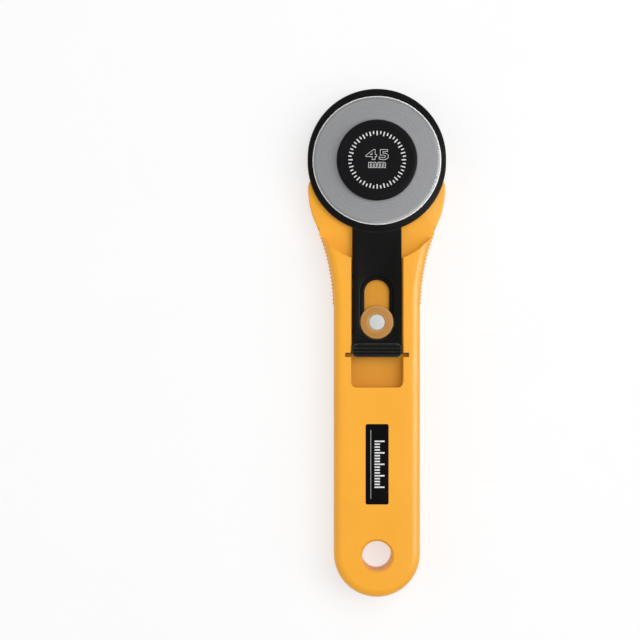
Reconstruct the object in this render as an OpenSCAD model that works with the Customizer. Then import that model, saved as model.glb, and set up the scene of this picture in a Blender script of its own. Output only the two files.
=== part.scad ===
// Rotary cutter with a sliding blade guard, lying on its back.
// +Z faces the user, +Y points to the blade, and the blade turns about a pivot along Z.
// Shapes are drawn with the pivot at X 0, Y 0, and heights start at the surface it lies on.

/* [Blade] */
// Diameter of the blade
blade_d = 45; // [42:0.5:50]
// Thickness of the blade
blade_t = 0.3; // [0.2:0.05:0.5]
// Width of the ground bevel at the blade's rim
bevel_w = 1.1; // [0.6:0.1:2]
// Thickness left at the cutting edge
edge_t = 0.04; // [0.02:0.01:0.1]

/* [Handle] */
// Distance from the pivot to the end of the handle
pivot_to_tail = 152.6; // [148:0.2:170]
// Width of the straight grip
grip_w = 30.1; // [28:0.1:32]
// Thickness of the grip
handle_t = 15; // [14:0.5:18]
// Rounding along the grip's long edges
grip_round = 3; // [2:0.25:4]
// Radius of the hollow curve from the grip to the head
flare_r = 70; // [55:1:85]
// Radius of the curve that swells into the shoulder
shoulder_r = 30; // [24:1:36]
// Distance from the pivot down to the widest part of the shoulders
shoulder_drop = 9.6; // [8:0.1:11]
// Radius of the corner above each shoulder
corner_r = 5; // [4:0.25:6]
// Radius of the head around the pivot
boss_r = 14; // [13:0.25:16]
// Thickness of the head plate
web_t = 4; // [3:0.25:5]
// Depth of the guard's channel and of the head recess
channel_depth = 5; // [4.5:0.1:6]
// Corner radius at the end of the channel
channel_r = 1.8; // [1:0.1:3]
// Chamfer along the rims of the channel and the guard strip
rim_chamfer = 0.4; // [0.2:0.05:0.6]
// Chamfer along the rim of the head recess
recess_chamfer = 0.2; // [0.1:0.05:0.5]
// Distance from the pivot down to where the back starts to thicken
scoop_start = 27; // [25:0.5:30]
// Radius of the hollow on the back behind the head
scoop_r = 20; // [14:1:28]
// Diameter of the hanging hole
hang_d = 10.4; // [8:0.1:12]
// Distance from the end of the handle to the middle of the hanging hole
hang_rise = 14.5; // [12:0.1:17]
// Chamfer at both rims of the hanging hole
hang_chamfer = 0.7; // [0.3:0.1:1.2]

/* [Grip teeth] */
// Length of the toothed stretch along each flare
teeth_l = 26; // [16:1:28]
// Spacing of the teeth
tooth_pitch = 1.3; // [1:0.1:2]
// Height of a tooth
tooth_h = 0.45; // [0.3:0.05:0.7]
// Distance from the ends of the teeth to the grip's rounded edges
tooth_margin = 0.4; // [0.2:0.1:1.5]

/* [Guard] */
// How far the guard disc stands out past the blade all round
guard_overhang = 1.75; // [1:0.25:3]
// How far the closed guard disc leads the blade towards the tip
guard_lead = 0.85; // [0:0.05:1.2]
// How far the closed guard disc trails the blade towards the grip
guard_tail = 0.65; // [0.2:0.05:1.2]
// Travel of the guard from closed to open
travel = 10.5; // [8:0.1:12]
// Thickness of the guard disc
disc_t = 2.2; // [1.6:0.1:3]
// Width of the guard strip
strip_w = 17.2; // [16:0.1:18]
// Thickness of the guard strip
strip_t = 3.2; // [2.9:0.1:3.8]
// Distance from the rim of the disc to the raised part of the strip
step_gap = 0.1; // [0.05:0.05:1]
// Rounding of the disc's rim
disc_round = 0.4; // [0.2:0.05:0.8]
// Length of the thumb tab
tab_l = 4.8; // [4.6:0.1:6]
// Corner radius of the thumb tab
tab_r = 1.8; // [0.8:0.1:2]
// How far the thumb tab's ridges stand above the grip
tab_rise = 0.6; // [0.2:0.1:1.5]
// Number of ridges on the thumb tab
ridge_n = 4; // [3:1:4]
// Spacing of the ridges
ridge_pitch = 1.22; // [1:0.02:1.3]
// Radius of a ridge
ridge_r = 0.45; // [0.3:0.05:0.5]
// Distance from the keyhole to the thumb tab
tab_gap = 1.3; // [0.8:0.05:3]
// How far each retaining ear reaches from the middle
ear_reach = 10.9; // [10.4:0.1:11.4]
// Width of an ear along the slide
ear_w = 1; // [0.8:0.1:1.6]
// Thickness of an ear
ear_t = 1.4; // [1:0.1:2]
// How far the closed guard's ears reach into the slits that let them in
ear_peek = 0.3; // [0.1:0.05:0.5]

/* [Guard stud] */
// Distance from the pivot to the guard stud
stud_drop = 56.6; // [55:0.2:60]
// Diameter of the stud's flange
stud_head_d = 11.7; // [10.4:0.1:12.4]
// Thickness of the stud's flange
stud_head_t = 1; // [0.6:0.1:1.4]
// Diameter of the neck that the guard slides along
stud_neck_d = 8.4; // [7.8:0.1:9]
// Thickness of the guard's ledge under the flange
ledge_t = 1.5; // [1:0.1:1.7]
// Width of the neck's ledge on the channel floor
stud_ledge = 0.4; // [0.2:0.05:0.5]
// Depth of the stud's shank below the channel floor
stud_depth = 6.5; // [4:0.5:8]
// Thickness of the stud's closed end below the pin
stud_floor = 1; // [0.6:0.1:2]
// Diameter of the drive pin in the stud
pin_d = 5.6; // [4:0.1:6]

/* [Pivot] */
// Diameter of the journal that the blade turns on
journal_d = 8; // [7.4:0.1:9]
// Width of the journal's ledge on the head plate
journal_ledge = 0.5; // [0.3:0.05:0.6]
// Diameter of the bolt's thread
thread_d = 6; // [5:0.1:6.4]
// Chamfer at the end of the thread
thread_chamfer = 0.6; // [0.3:0.1:1]
// How far the neck's flats clear the thread on each side
flats_room = 0.05; // [0:0.01:0.1]
// Diameter of the bolt's flange inside the cap
flange_d = 16; // [12:0.5:20]
// Thickness of the bolt's flange
flange_t = 1.2; // [0.8:0.1:1.6]
// Diameter of the cap
cap_d = 28.2; // [26:0.1:32]
// Thickness of the cap
cap_t = 3.4; // [2.8:0.1:5]
// Rounding of the cap's upper edge
cap_round = 0.7; // [0.3:0.1:1.2]
// Width of the raised border round the cap's face
cap_border = 1.9; // [1:0.1:3]
// Depth of the cap's face below its border
cap_sink = 0.2; // [0.1:0.05:0.4]

/* [Nut] */
// Height of the bowed spring washer
washer_h = 1; // [0.9:0.05:1.4]
// Thickness of the spring washer
washer_t = 0.5; // [0.3:0.05:0.65]
// Outside diameter of the spring washer
washer_od = 15; // [13:0.5:17]
// How far the spring washer's hole clears the thread all round
washer_room = 0.3; // [0.2:0.05:0.5]
// Diameter of the nut's knob
nut_d = 21; // [20:0.5:24]
// Number of finger notches round the knob
notch_n = 10; // [6:1:12]
// Radius of a finger notch
notch_r = 2.4; // [1.5:0.1:3]
// Depth of a finger notch
notch_depth = 1; // [0.5:0.1:1.4]
// Chamfer on the knob's edges
nut_chamfer = 0.8; // [0.3:0.1:1.2]
// Width across the flats of the nut's insert
insert_af = 10; // [9:0.1:12]
// How far the insert and the bolt's end lie inside the knob
insert_sink = 0.3; // [0.1:0.1:0.8]
// How far the knob stays above the surface the cutter lies on
nut_lift = 0.4; // [0.2:0.1:1]

/* [Label] */
// Width of the label
label_w = 8; // [6:0.1:10]
// Length of the label
label_l = 28; // [20:0.5:32]
// Corner radius of the label
label_r = 0.7; // [0.3:0.1:1.5]
// Thickness of the label
label_t = 0.3; // [0.3:0.05:0.6]
// Depth of the label's pocket
label_sink = 0.25; // [0.1:0.05:0.3]
// Distance from the hanging hole to the middle of the label
label_from_hole = 32; // [26:0.1:36]

/* [Fits] */
// Play between flat faces that slide on each other
slide_gap = 0.1; // [0.05:0.05:0.2]
// Radial play of turning and screwed fits
run_gap = 0.05; // [0.02:0.01:0.08]
// Radial play of fixed pieces in their seats
seat_gap = 0.04; // [0.02:0.01:0.08]
// Play of the guard round its stud, round the journal and at its end stops
guide_gap = 0.15; // [0.1:0.05:0.25]
// Play between the strip and each side of the channel
side_gap = 0.4; // [0.3:0.05:0.6]
// Play round the ears in their slits and grooves
ear_gap = 0.25; // [0.2:0.05:0.4]
// Play between the open disc and the rim of the head recess
disc_gap = 0.3; // [0.2:0.05:1]

/* [Hidden] */
$fn = 96;

// Reach of a cutter past the face that it cuts
over = 1;
// Depth of the swept bands that carry the rounded edges
band = 10;
// Largest turn between two points of a curve in the head plate's outline, in degrees
arc_step = 2.5;
// How far a shape that is joined to another ends inside it
tuck = 0.03;
// Distance from the start of the back's hollow to the seam between grip and head plate
seam_step = 2;

// Heights
floor_z = handle_t - channel_depth;
head_back_z = floor_z - web_t;
guard_z = floor_z + slide_gap;
disc_top_z = guard_z + disc_t;
strip_top_z = guard_z + strip_t;
blade_z = disc_top_z + slide_gap;
cap_z = blade_z + blade_t + slide_gap;
tab_top_z = handle_t + tab_rise;
stud_head_z = guard_z + ledge_t + slide_gap;
nut_top_z = head_back_z - washer_h;
insert_z = nut_lift + insert_sink;

// Guard
blade_r = blade_d / 2;
guard_r = blade_r + guard_overhang;
guard_top = guard_r + guard_lead;
step_r = guard_r + step_gap;
channel_w = strip_w + 2 * side_gap;
foot_w = channel_w - 2 * guide_gap;
key_r = stud_head_d / 2 + guide_gap;
slot_r = stud_neck_d / 2 + guide_gap;
journal_slot_r = journal_d / 2 + guide_gap;
tab_top_y = -stud_drop - key_r - tab_gap;
tab_end_y = tab_top_y - tab_l;
slit_w = ear_w + 2 * ear_gap;
slit_y = tab_end_y + slit_w;
strip_end_y = slit_y - ear_peek;
ear_y = strip_end_y + ear_w;
channel_end_y = tab_end_y - travel - guide_gap;
groove_end_y = strip_end_y - travel - guide_gap;

// Handle outline
recess_r = guard_r + disc_gap;
recess_y = -guard_tail - travel;
shoulder_x = guard_r - guide_gap;
curve_sum = flare_r + shoulder_r;
flare_out = shoulder_x - grip_w / 2;
flare_rise = sqrt(2 * curve_sum * flare_out - flare_out * flare_out);
flare_angle = asin(flare_rise / curve_sum);
neck_y = -shoulder_drop - flare_rise;
plate_y = -scoop_start + seam_step;
tail_y = -pivot_to_tail + grip_w / 2;
hang_y = -pivot_to_tail + hang_rise;
flare_c = [grip_w / 2 + flare_r, neck_y];
shoulder_c = [shoulder_x - shoulder_r, -shoulder_drop];
corner_c = [shoulder_x - corner_r, -shoulder_drop];
brow_angle = atan2(corner_c[1], corner_c[0]) + acos((boss_r - corner_r) / norm(corner_c));

// Bolt and nut
bolt_neck_d = journal_d - 2 * journal_ledge;
flats_w = thread_d + 2 * flats_room;
washer_id = thread_d + 2 * washer_room;
washer_rise = washer_h - 2 * seat_gap;
washer_bow_r = (washer_rise * washer_rise - washer_t * washer_t + washer_od * washer_od / 4)
    / (2 * (washer_rise - washer_t));
stud_shank_d = stud_neck_d - 2 * stud_ledge;
pin_z = floor_z - stud_depth + stud_floor;

// Pivot's place in a frame whose origin is the middle of the whole length
pivot_y = (pivot_to_tail - guard_top) / 2;

function on_arc(c, r, a) = [c[0] + r * cos(a), c[1] + r * sin(a)];
// Points of an arc, without its first one, so that one arc can follow another.
function arc(c, r, from, to) = let (n = ceil(abs(to - from) / arc_step))
    [for (i = [1 : n]) on_arc(c, r, from + (to - from) * i / n)];
// Points of a circle about the flare's centre, from the neck up to the plate.
function flare_line(r) = concat([on_arc(flare_c, r, 180)], arc(flare_c, r, 180, 180 - plate_angle(r)));
function plate_angle(r) = asin((plate_y - neck_y) / r);
function flipped(points) = [for (i = [len(points) - 1 : -1 : 0]) [-points[i][0], points[i][1]]];

// Helpers

module at_pivot() {
    translate([0, pivot_y, 0]) children();
}

module both_sides() {
    children();
    mirror([1, 0, 0]) children();
}

// Section of a plate's edge: depth wide, t thick, with the two outer corners rounded.
module edge_section(depth, t, r) {
    square([depth - r, t]);
    translate([0, r]) square([depth, t - 2 * r]);
    for (h = [r, t - r]) translate([depth - r, h]) circle(r);
}

module rounded_rect(w, l, r) {
    square([w - 2 * r, l], center = true);
    square([w, l - 2 * r], center = true);
    for (x = [-1, 1], y = [-1, 1]) translate([x * (w / 2 - r), y * (l / 2 - r)]) circle(r);
}

// Slot from one point of the Y axis up to another, with round ends.
module slot(r, y0, y1) {
    translate([-r, y0]) square([2 * r, y1 - y0]);
    for (y = [y0, y1]) translate([0, y]) circle(r);
}

// Plan of a bar up the Y axis, with its two lower corners rounded.
module round_ended(w, y0, y1, r) {
    translate([-w / 2, y0 + r]) square([w, y1 - y0 - r]);
    translate([r - w / 2, y0]) square([w - 2 * r, y1 - y0]);
    for (x = [-1, 1]) translate([x * (w / 2 - r), y0 + r]) circle(r);
}

// Bar along Y with its upper edges chamfered.
module strip_bar(w, y0, y1, t) {
    translate([0, y1, guard_z]) rotate([90, 0, 0]) linear_extrude(y1 - y0)
        polygon([
            [-w / 2, 0], [w / 2, 0], [w / 2, t - rim_chamfer], [w / 2 - rim_chamfer, t],
            [-w / 2 + rim_chamfer, t], [-w / 2, t - rim_chamfer]
        ]);
}

// Handle

module grip() {
    translate([0, neck_y, 0]) rotate([90, 0, 0]) linear_extrude(neck_y - tail_y)
        both_sides() edge_section(grip_w / 2, handle_t, grip_round);
    translate([0, tail_y, 0]) rotate([0, 0, 180]) rotate_extrude(angle = 180)
        edge_section(grip_w / 2, handle_t, grip_round);
}

module flare() {
    inner = flare_line(flare_r + band / 2);
    both_sides() intersection() {
        translate([flare_c[0], flare_c[1], 0]) rotate_extrude() translate([flare_r + band, 0])
            mirror([1, 0, 0]) edge_section(band, handle_t, grip_round);
        translate([0, neck_y, -over]) cube([shoulder_x, plate_y - neck_y, handle_t + 2 * over]);
    }
    linear_extrude(handle_t) polygon(concat(inner, flipped(inner)));
}

// Saw-tooth comb that stands out of each flare's side wall.
module teeth() {
    step = tooth_pitch / flare_r * 180 / PI;
    count = floor(teeth_l / tooth_pitch);
    root_r = flare_r + tuck;
    tips = [for (i = [0 : count - 1], half = [0, 1])
        on_arc(flare_c, root_r - (tooth_h + tuck) * half, 180 - (i + (1 + half) / 2) * step)];
    last = on_arc(flare_c, root_r, 180 - (count + 0.5) * step);
    inner = arc(flare_c, flare_r + grip_round, 180 - (count + 0.5) * step, 180);
    both_sides() translate([0, 0, grip_round + tooth_margin])
        linear_extrude(handle_t - 2 * (grip_round + tooth_margin)) polygon(concat(tips, [last], inner));
}

// Thin plate that carries the pivot, from the flares to the top of the head.
module head_plate() {
    foot_r = flare_r + tuck;
    foot = plate_angle(foot_r);
    side = concat(
        [on_arc(flare_c, foot_r, 180 - foot)],
        arc(flare_c, foot_r, 180 - foot, 180 - flare_angle),
        arc(shoulder_c, shoulder_r, -flare_angle, 0),
        arc(corner_c, corner_r, 0, brow_angle),
        [on_arc([0, 0], boss_r, brow_angle)]
    );
    top = arc([0, 0], boss_r, brow_angle, 180 - brow_angle - arc_step);
    translate([0, 0, head_back_z]) linear_extrude(web_t) polygon(concat(side, top, flipped(side)));
}

// Recess round the open guard disc, with a chamfered rim, and open to the sides nearer the head.
module head_recess() {
    reach = shoulder_x + over;
    translate([0, recess_y, 0]) rotate_extrude() polygon([
        [0, floor_z], [recess_r, floor_z], [recess_r, handle_t - recess_chamfer],
        [recess_r + recess_chamfer, handle_t], [recess_r + recess_chamfer, handle_t + over],
        [0, handle_t + over]
    ]);
    translate([-reach, -scoop_start, floor_z]) cube([2 * reach, scoop_start, channel_depth + over]);
}

module guard_channel() {
    half = channel_w / 2;
    translate([0, 0, floor_z]) linear_extrude(channel_depth + over)
        round_ended(channel_w, channel_end_y, 0, channel_r);
    both_sides() rotate([90, 0, 0]) linear_extrude(-channel_end_y - channel_r)
        polygon([
            [half - rim_chamfer, handle_t - 2 * rim_chamfer], [half, handle_t - rim_chamfer],
            [half + rim_chamfer, handle_t], [half + rim_chamfer, handle_t + over],
            [half - rim_chamfer, handle_t + over]
        ]);
}

// Slits that let the guard's ears in a little way open, and the grooves they then run in.
module ear_track() {
    half = ear_reach + ear_gap;
    translate([-half, slit_y - slit_w, floor_z]) cube([2 * half, slit_w, channel_depth + over]);
    translate([-half, groove_end_y, floor_z])
        cube([2 * half, ear_y + ear_gap - groove_end_y, slide_gap + ear_t + slide_gap]);
}

module double_d(d, flats, h) {
    intersection() {
        cylinder(d = d, h = h);
        translate([-flats / 2, -d, 0]) cube([flats, 2 * d, h]);
    }
}

// Hollow behind the head that leaves room for the nut and for fingers.
module back_scoop() {
    reach = shoulder_x + over;
    translate([-reach, -scoop_start, 0]) rotate([90, 0, 90]) linear_extrude(2 * reach) {
        translate([0, -over]) square([reach + scoop_start, head_back_z + over]);
        intersection() {
            translate([0, head_back_z - scoop_r]) circle(scoop_r);
            translate([-scoop_r, -over]) square([scoop_r, head_back_z + over]);
        }
    }
}

module hang_hole() {
    r = hang_d / 2;
    translate([0, hang_y, 0]) rotate_extrude() polygon([
        [0, -over], [r + hang_chamfer, -over], [r + hang_chamfer, 0], [r, hang_chamfer],
        [r, handle_t - hang_chamfer], [r + hang_chamfer, handle_t],
        [r + hang_chamfer, handle_t + over], [0, handle_t + over]
    ]);
}

module label_pocket() {
    translate([0, hang_y + label_from_hole, handle_t - label_sink]) linear_extrude(label_sink + over)
        rounded_rect(label_w + 2 * seat_gap, label_l + 2 * seat_gap, label_r + seat_gap);
}

module handle() {
    color("#f9b23c") difference() {
        union() {
            difference() {
                union() {
                    grip();
                    flare();
                    teeth();
                }
                head_recess();
                back_scoop();
            }
            head_plate();
        }
        guard_channel();
        ear_track();
        translate([0, 0, head_back_z - over])
            double_d(bolt_neck_d + 2 * seat_gap, flats_w + 2 * seat_gap, web_t + 2 * over);
        translate([0, -stud_drop, floor_z - stud_depth - seat_gap])
            cylinder(d = stud_shank_d + 2 * seat_gap, h = stud_depth + over);
        hang_hole();
        label_pocket();
    }
}

module label_plate() {
    color("#0d0b0b") translate([0, hang_y + label_from_hole, handle_t - label_sink])
        linear_extrude(label_t) rounded_rect(label_w, label_l, label_r);
}

// Guard

// Half the tab's width at a distance along the slide from its middle.
function tab_half(d) = let (past = max(0, d - tab_l / 2 + tab_r))
    strip_w / 2 - tab_r + sqrt(max(0, tab_r * tab_r - past * past));

module thumb_tab() {
    mid_y = (tab_top_y + tab_end_y) / 2;
    base_z = tab_top_z - ridge_r;
    translate([0, mid_y, strip_top_z - rim_chamfer])
        linear_extrude(base_z - strip_top_z + rim_chamfer) rounded_rect(strip_w, tab_l, tab_r);
    for (i = [0 : ridge_n - 1]) {
        step = (i - (ridge_n - 1) / 2) * ridge_pitch;
        half = tab_half(abs(step) + ridge_r) - tuck;
        translate([-half, mid_y + step, base_z]) rotate([0, 90, 0]) cylinder(r = ridge_r, h = 2 * half);
    }
}

// Disc under the blade, drawn out a little along the slide.
module guard_disc() {
    translate([0, guard_lead, guard_z]) rotate_extrude(angle = 180) edge_section(guard_r, disc_t, disc_round);
    translate([0, guard_lead, guard_z]) rotate([90, 0, 0]) linear_extrude(guard_lead + guard_tail)
        both_sides() edge_section(guard_r, disc_t, disc_round);
    translate([0, -guard_tail, guard_z]) rotate([0, 0, 180]) rotate_extrude(angle = 180)
        edge_section(guard_r, disc_t, disc_round);
}

module guard_strip() {
    difference() {
        strip_bar(strip_w, tab_top_y - over, 0, strip_t);
        translate([0, -guard_tail, disc_top_z]) cylinder(r = step_r, h = strip_t);
    }
    translate([0, 0, guard_z]) linear_extrude(strip_t)
        round_ended(foot_w, strip_end_y, tab_top_y, channel_r);
    translate([-ear_reach, ear_y - ear_w, guard_z]) cube([2 * ear_reach, ear_w, ear_t]);
}

// Keyhole that drops over the stud's flange, and the sunk track the flange then runs in.
module stud_cuts() {
    translate([0, 0, guard_z - over]) linear_extrude(strip_t + 2 * over) {
        slot(slot_r, -stud_drop, -stud_drop + travel);
        translate([0, -stud_drop]) circle(key_r);
    }
    translate([0, 0, guard_z + ledge_t]) linear_extrude(strip_t)
        slot(key_r, -stud_drop, -stud_drop + travel);
}

module blade_guard() {
    color("#191919") difference() {
        union() {
            guard_disc();
            guard_strip();
            thumb_tab();
        }
        translate([0, 0, guard_z - over]) linear_extrude(disc_t + 2 * over) slot(journal_slot_r, 0, travel);
        stud_cuts();
    }
}

// Stud that holds the guard down, and the pin that spreads it in its hole

module guard_stud() {
    color("#b9822f") translate([0, -stud_drop, 0]) difference() {
        union() {
            translate([0, 0, stud_head_z]) cylinder(d = stud_head_d, h = stud_head_t);
            translate([0, 0, floor_z]) cylinder(d = stud_neck_d, h = stud_head_z - floor_z);
            translate([0, 0, floor_z - stud_depth]) cylinder(d = stud_shank_d, h = stud_depth);
        }
        translate([0, 0, pin_z]) cylinder(d = pin_d + 2 * seat_gap, h = handle_t);
    }
}

module stud_pin() {
    color("#c9cbca") translate([0, -stud_drop, pin_z])
        cylinder(d = pin_d, h = stud_head_z + stud_head_t - pin_z);
}

// Blade and its pivot

module blade() {
    bore_r = journal_d / 2 + run_gap;
    mid = blade_t / 2;
    color("#9a9b9f") translate([0, 0, blade_z]) rotate_extrude() polygon([
        [bore_r, 0], [blade_r - bevel_w, 0], [blade_r, mid - edge_t / 2], [blade_r, mid + edge_t / 2],
        [blade_r - bevel_w, blade_t], [bore_r, blade_t]
    ]);
}

module pivot_bolt() {
    thread_l = head_back_z - insert_z;
    color("#b4b6b8") {
        translate([0, 0, cap_z]) cylinder(d = flange_d, h = flange_t);
        translate([0, 0, floor_z]) cylinder(d = journal_d, h = cap_z - floor_z);
        translate([0, 0, head_back_z]) double_d(bolt_neck_d, flats_w, web_t);
        translate([0, 0, insert_z]) rotate_extrude() polygon([
            [0, 0], [thread_d / 2 - thread_chamfer, 0], [thread_d / 2, thread_chamfer],
            [thread_d / 2, thread_l], [0, thread_l]
        ]);
    }
}

module bolt_cap() {
    face_r = cap_d / 2 - cap_border;
    color("#1b1b1e") translate([0, 0, cap_z]) difference() {
        rotate_extrude() difference() {
            edge_section(cap_d / 2, cap_t, cap_round);
            translate([0, cap_t - cap_sink]) square([face_r, over]);
        }
        translate([0, 0, -over]) cylinder(d = flange_d + 2 * seat_gap, h = flange_t + seat_gap + over);
    }
}

// Spring washer and nut

module spring_washer() {
    color("#a9abad") translate([0, 0, head_back_z - seat_gap]) intersection() {
        translate([-washer_od, 0, -washer_bow_r]) rotate([0, 90, 0]) difference() {
            cylinder(r = washer_bow_r, h = 2 * washer_od);
            translate([0, 0, -over]) cylinder(r = washer_bow_r - washer_t, h = 2 * washer_od + 2 * over);
        }
        translate([0, 0, -washer_od]) difference() {
            cylinder(d = washer_od, h = 2 * washer_od);
            translate([0, 0, -over]) cylinder(d = washer_id, h = 2 * washer_od + 2 * over);
        }
    }
}

module hex_prism(af, h) {
    cylinder(d = af / cos(30), h = h, $fn = 6);
}

module lock_nut() {
    r = nut_d / 2;
    color("#1a1a1a") difference() {
        rotate_extrude() polygon([
            [0, nut_lift], [r - nut_chamfer, nut_lift], [r, nut_lift + nut_chamfer],
            [r, nut_top_z - nut_chamfer], [r - nut_chamfer, nut_top_z], [0, nut_top_z]
        ]);
        for (i = [0 : notch_n - 1]) rotate([0, 0, (i + 0.5) * 360 / notch_n])
            translate([r + notch_r - notch_depth, 0, 0]) cylinder(r = notch_r, h = nut_top_z + over);
        hex_prism(insert_af + 2 * seat_gap, nut_top_z + over);
    }
}

module nut_insert() {
    color("#c6a04c") difference() {
        translate([0, 0, insert_z]) hex_prism(insert_af, nut_top_z - insert_z);
        cylinder(d = thread_d + 2 * run_gap, h = nut_top_z + over);
    }
}

at_pivot() handle();
at_pivot() label_plate();
at_pivot() blade_guard();
at_pivot() guard_stud();
at_pivot() stud_pin();
at_pivot() blade();
at_pivot() pivot_bolt();
at_pivot() bolt_cap();
at_pivot() spring_washer();
at_pivot() lock_nut();
at_pivot() nut_insert();
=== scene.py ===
"""Dressed model of a rotary cutter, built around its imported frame.

The frame gives every piece at its real size and place. This script rounds the moulded edges, models the
pieces that need finer work, such as the threaded bolt, the cap and the print, gives each piece a finish of
its own, and sets up a plain studio with the camera straight above the tool.
"""

import logging
import math
from contextlib import contextmanager
from dataclasses import dataclass
from enum import Enum
from typing import Callable, Iterator

import bmesh
import bpy
from bmesh.types import BMEdge, BMFace
from bpy.types import Material, Node as ShaderNode, NodeSocket, NodeTree, Object
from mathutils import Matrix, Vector


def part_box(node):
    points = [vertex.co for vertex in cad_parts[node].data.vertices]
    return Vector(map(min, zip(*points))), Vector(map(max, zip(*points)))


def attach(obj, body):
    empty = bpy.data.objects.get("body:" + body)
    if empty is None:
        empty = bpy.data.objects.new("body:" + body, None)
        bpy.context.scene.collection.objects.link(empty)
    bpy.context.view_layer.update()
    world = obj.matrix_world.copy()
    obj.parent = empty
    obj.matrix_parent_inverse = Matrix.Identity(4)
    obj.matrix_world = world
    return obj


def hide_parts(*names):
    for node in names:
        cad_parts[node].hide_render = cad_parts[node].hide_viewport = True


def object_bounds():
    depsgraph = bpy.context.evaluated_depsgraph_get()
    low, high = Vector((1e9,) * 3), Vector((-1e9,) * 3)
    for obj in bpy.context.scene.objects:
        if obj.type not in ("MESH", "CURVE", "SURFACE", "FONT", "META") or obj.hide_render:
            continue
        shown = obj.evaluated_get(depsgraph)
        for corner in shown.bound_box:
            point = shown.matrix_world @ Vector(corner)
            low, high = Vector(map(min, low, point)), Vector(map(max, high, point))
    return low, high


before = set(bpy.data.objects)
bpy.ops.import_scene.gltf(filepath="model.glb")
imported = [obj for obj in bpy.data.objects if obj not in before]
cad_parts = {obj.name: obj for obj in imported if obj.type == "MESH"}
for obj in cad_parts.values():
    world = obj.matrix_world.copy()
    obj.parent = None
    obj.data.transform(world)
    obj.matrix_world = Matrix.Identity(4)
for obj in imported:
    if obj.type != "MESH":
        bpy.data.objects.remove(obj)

log = logging.getLogger("rotary_cutter")

CAD_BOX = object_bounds()
MM = 0.001
FULL_TURN = 2 * math.pi
MERGE_REACH = 0.002 * MM
SAME_LENGTH = 0.01 * MM
FLAT_ANGLE = math.radians(0.3)
SMOOTH_ANGLE = math.radians(32)
SHARP_ANGLE = math.radians(60)
# Heights of the head plate's back and front, and the height and the rounding of a printed bar.
PLATE_LEVELS = (6.0 * MM, 10.0 * MM)
INK_HEIGHT = 0.03 * MM
INK_ROUND = 0.8 * INK_HEIGHT
# The range that most of a noise lies in, and the range of a mask.
NOISE_RANGE = (0.3, 0.7)
UNIT_RANGE = (0.0, 1.0)

Colour = tuple[float, float, float]
Pair = tuple[float, float]
Sockets = dict[str, NodeSocket]
EdgeTest = Callable[[BMEdge], bool]
FaceTest = Callable[[BMFace], bool]


class Body(Enum):
    """Bodies of the frame that pieces ride on."""

    HANDLE = "handle"
    GUARD = "guard"
    NUT = "nut"


class Node(Enum):
    """Pieces of the frame."""

    HANDLE = "handle"
    LABEL = "label_plate"
    GUARD = "blade_guard"
    STUD = "guard_stud"
    PIN = "stud_pin"
    BLADE = "blade"
    BOLT = "pivot_bolt"
    CAP = "bolt_cap"
    WASHER = "spring_washer"
    KNOB = "lock_nut"
    INSERT = "nut_insert"


class Slot(Enum):
    """Material slots of the record."""

    HANDLE = "handle_plastic"
    LABEL = "label_film"
    GUARD = "guard_plastic"
    STUD = "stud_plastic"
    PIN = "pin_plastic"
    BOLT = "bolt_steel"
    CAP = "cap_plastic"
    INSERT = "insert_brass"


class Part(Enum):
    """Parts of a mesh that can be selected."""

    EDGES = "EDGE"
    FACES = "FACE"


class Side(Enum):
    """Which flat end of an upright primitive a step of the modelling takes."""

    UPPER = 1
    LOWER = -1


class Role(Enum):
    """What a lamp does: it lights matte surfaces, or it only shows as a reflection."""

    LIGHT = "light"
    SHINE = "shine"


# Places in the frame


def middle(node: Node) -> Vector:
    """Gives the middle of the box of a piece of the frame."""
    low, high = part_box(node.value)
    return (low + high) / 2


def top_of(node: Node) -> Vector:
    """Gives the middle of the upper side of that box."""
    return Vector((*middle(node).xy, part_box(node.value)[1].z))


PIVOT = middle(Node.BLADE)
STUD = middle(Node.STUD)


# Modelling bench


def deselect() -> None:
    """Deselects every object."""
    bpy.ops.object.select_all(action="DESELECT")


def take(obj: Object) -> None:
    """Makes an object the only selected one, and the active one.

    Args:
        obj: Object to work on next.
    """
    deselect()
    obj.select_set(True)
    bpy.context.view_layer.objects.active = obj


def started(name: str) -> Object:
    """Names the primitive that was just added.

    Args:
        name: Name of the piece and of its mesh.

    Returns:
        The new object.
    """
    obj = bpy.context.active_object
    obj.name = name
    obj.data.name = name
    return obj


def apply_place(obj: Object) -> None:
    """Moves the place, the turn and the scale of an object into its data."""
    take(obj)
    bpy.ops.object.transform_apply(location=True, rotation=True, scale=True)


@contextmanager
def editing(obj: Object, whole: bool = False) -> Iterator[None]:
    """Opens an object in edit mode, and closes it again.

    Args:
        obj: Mesh object to edit.
        whole: Whether all of its mesh is selected at first, or nothing.
    """
    take(obj)
    bpy.ops.object.mode_set(mode="EDIT")
    bpy.ops.mesh.select_mode(type=Part.FACES.value)
    bpy.ops.mesh.select_all(action="SELECT" if whole else "DESELECT")
    yield
    bpy.ops.object.mode_set(mode="OBJECT")


def pick(obj: Object, part: Part, test: EdgeTest | FaceTest) -> None:
    """Selects edges or faces of a mesh in edit mode.

    Args:
        obj: Object that is open in edit mode.
        part: Whether edges or faces are selected.
        test: Says which of them to select.
    """
    bpy.ops.mesh.select_mode(type=part.value)
    bpy.ops.mesh.select_all(action="DESELECT")
    mesh = bmesh.from_edit_mesh(obj.data)
    for item in mesh.edges if part is Part.EDGES else mesh.faces:
        if test(item):
            item.select_set(True)
    bmesh.update_edit_mesh(obj.data)


def pick_end(obj: Object, side: Side) -> None:
    """Selects the uppermost or lowermost flat face of a mesh in edit mode.

    Args:
        obj: Object that is open in edit mode.
        side: Which end to select.
    """
    level = 0.99
    mesh = bmesh.from_edit_mesh(obj.data)
    heights = [f.calc_center_median().z for f in mesh.faces if f.normal.z * side.value > level]
    end = max(heights) if side is Side.UPPER else min(heights)
    pick(obj, Part.FACES, lambda f: f.normal.z * side.value > level and near(f.calc_center_median().z, end))


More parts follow.
